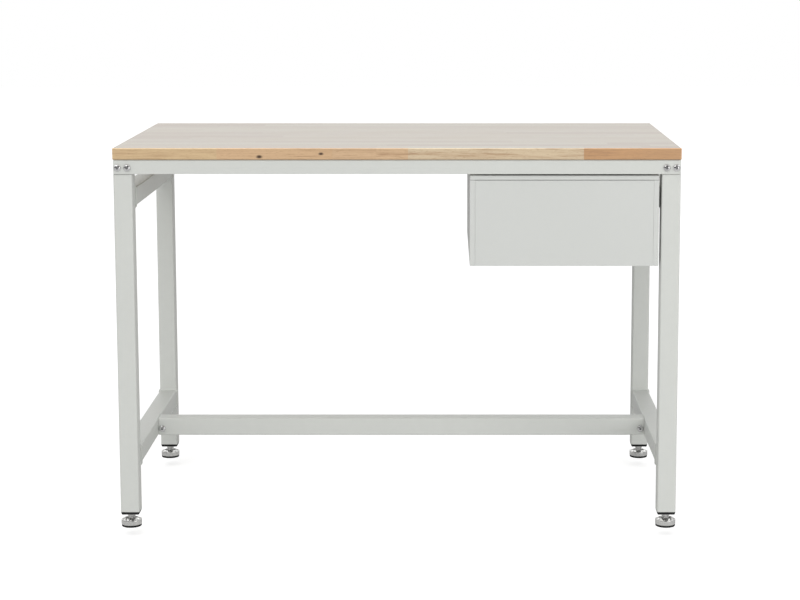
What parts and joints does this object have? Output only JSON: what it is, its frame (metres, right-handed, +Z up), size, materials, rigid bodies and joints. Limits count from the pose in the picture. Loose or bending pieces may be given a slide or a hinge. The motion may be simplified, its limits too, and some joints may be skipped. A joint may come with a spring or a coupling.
{
  "type": "workbench with drawer",
  "caption": "Workbench: wooden worktop on a square-tube steel frame with levelling feet, and a hanging steel drawer under its right side.",
  "frame": {"origin": "on the floor under the middle of the worktop, at the bottom centre of the bounding box", "axes": "+Z up, +X to the right as seen from the front, along the worktop's length, and the front with the drawer faces -Y"},
  "size_m": [1.203, 0.6544, 0.825],
  "materials": {
    "wood": "clear-lacquered beech staves, satin",
    "frame_paint": "light grey powder coat, semi-gloss",
    "drawer_paint": "light grey powder coat, semi-gloss",
    "bolt_chrome": "bright plated button heads",
    "zinc_steel": "zinc-plated sheet and fixings",
    "foot_steel": "zinc-plated turned steel",
    "black_plastic": "moulded end plugs",
    "black_rubber": "matt rubber pads"
  },
  "bodies": {
    "bench_frame": {"worktop": "wood", "front_rail": "frame_paint", "rear_rail": "frame_paint", "front_left_leg": "frame_paint", "front_right_leg": "frame_paint", "rear_left_leg": "frame_paint", "rear_right_leg": "frame_paint", "left_upper_side_tube": "frame_paint", "left_lower_side_tube": "frame_paint", "right_upper_side_tube": "frame_paint", "right_lower_side_tube": "frame_paint", "lower_crossbar": "frame_paint", "front_left_rail_bolts": "bolt_chrome", "front_right_rail_bolts": "bolt_chrome", "rear_left_rail_bolts": "bolt_chrome", "rear_right_rail_bolts": "bolt_chrome", "crossbar_bolt_left": "bolt_chrome", "crossbar_bolt_right": "bolt_chrome", "crossbar_nut_left": "bolt_chrome", "crossbar_nut_right": "bolt_chrome", "crossbar_bracket_left": "zinc_steel", "crossbar_bracket_right": "zinc_steel", "front_top_screw_1": "zinc_steel", "front_top_screw_2": "zinc_steel", "front_top_screw_3": "zinc_steel", "rear_top_screw_1": "zinc_steel", "rear_top_screw_2": "zinc_steel", "rear_top_screw_3": "zinc_steel", "front_left_leg_insert": "black_plastic", "front_right_leg_insert": "black_plastic", "rear_left_leg_insert": "black_plastic", "rear_right_leg_insert": "black_plastic", "front_left_jam_nut": "foot_steel", "front_right_jam_nut": "foot_steel", "rear_left_jam_nut": "foot_steel", "rear_right_jam_nut": "foot_steel", "drawer_housing": "drawer_paint", "drawer_housing_back": "drawer_paint", "drawer_hanger_left": "zinc_steel", "drawer_hanger_right": "zinc_steel", "drawer_slide_outer_left": "zinc_steel", "drawer_slide_outer_right": "zinc_steel"},
    "drawer": {"drawer_front": "drawer_paint", "drawer_tray": "drawer_paint", "drawer_slide_inner_left": "zinc_steel", "drawer_slide_inner_right": "zinc_steel"},
    "drawer_slide_middles": {"drawer_slide_middle_left": "zinc_steel", "drawer_slide_middle_right": "zinc_steel"},
    "front_left_foot_base": {"front_left_foot": "foot_steel", "front_left_rubber_pad": "black_rubber"},
    "front_left_stem": {"front_left_levelling_stem": "foot_steel"},
    "front_right_foot_base": {"front_right_foot": "foot_steel", "front_right_rubber_pad": "black_rubber"},
    "front_right_stem": {"front_right_levelling_stem": "foot_steel"},
    "rear_left_foot_base": {"rear_left_foot": "foot_steel", "rear_left_rubber_pad": "black_rubber"},
    "rear_left_stem": {"rear_left_levelling_stem": "foot_steel"},
    "rear_right_foot_base": {"rear_right_foot": "foot_steel", "rear_right_rubber_pad": "black_rubber"},
    "rear_right_stem": {"rear_right_levelling_stem": "foot_steel"}
  },
  "joints": [
    {"name": "drawer_slide", "type": "slide", "parent": "bench_frame", "child": "drawer", "axis": [0, -1, 0], "range_m": [0, 0.42]},
    {"name": "drawer_slide_middle", "type": "slide", "parent": "bench_frame", "child": "drawer_slide_middles", "axis": [0, -1, 0], "range_m": [0, 0.21]},
    {"name": "front_left_foot_height", "type": "slide", "parent": "bench_frame", "child": "front_left_foot_base", "axis": [0, 0, -1], "range_m": [0, 0.02]},
    {"name": "front_left_stem_turn", "type": "hinge", "parent": "front_left_foot_base", "child": "front_left_stem", "pos_m": [-0.5795, -0.3, 0.03], "axis": [0, 0, -1], "range_deg": [0, 4800]},
    {"name": "front_right_foot_height", "type": "slide", "parent": "bench_frame", "child": "front_right_foot_base", "axis": [0, 0, -1], "range_m": [0, 0.02]},
    {"name": "front_right_stem_turn", "type": "hinge", "parent": "front_right_foot_base", "child": "front_right_stem", "pos_m": [0.5795, -0.3, 0.03], "axis": [0, 0, -1], "range_deg": [0, 4800]},
    {"name": "rear_left_foot_height", "type": "slide", "parent": "bench_frame", "child": "rear_left_foot_base", "axis": [0, 0, -1], "range_m": [0, 0.02]},
    {"name": "rear_left_stem_turn", "type": "hinge", "parent": "rear_left_foot_base", "child": "rear_left_stem", "pos_m": [-0.5795, 0.3, 0.03], "axis": [0, 0, -1], "range_deg": [0, 4800]},
    {"name": "rear_right_foot_height", "type": "slide", "parent": "bench_frame", "child": "rear_right_foot_base", "axis": [0, 0, -1], "range_m": [0, 0.02]},
    {"name": "rear_right_stem_turn", "type": "hinge", "parent": "rear_right_foot_base", "child": "rear_right_stem", "pos_m": [0.5795, 0.3, 0.03], "axis": [0, 0, -1], "range_deg": [0, 4800]}
  ],
  "couplings": [
    {"joint": "drawer_slide_middle", "follows": "drawer_slide", "ratio": 0.5},
    {"joint": "front_left_stem_turn", "follows": "front_left_foot_height", "rad_per_m": 4188.8},
    {"joint": "front_right_stem_turn", "follows": "front_right_foot_height", "rad_per_m": 4188.8},
    {"joint": "rear_left_stem_turn", "follows": "rear_left_foot_height", "rad_per_m": 4188.8},
    {"joint": "rear_right_stem_turn", "follows": "rear_right_foot_height", "rad_per_m": 4188.8}
  ]
}
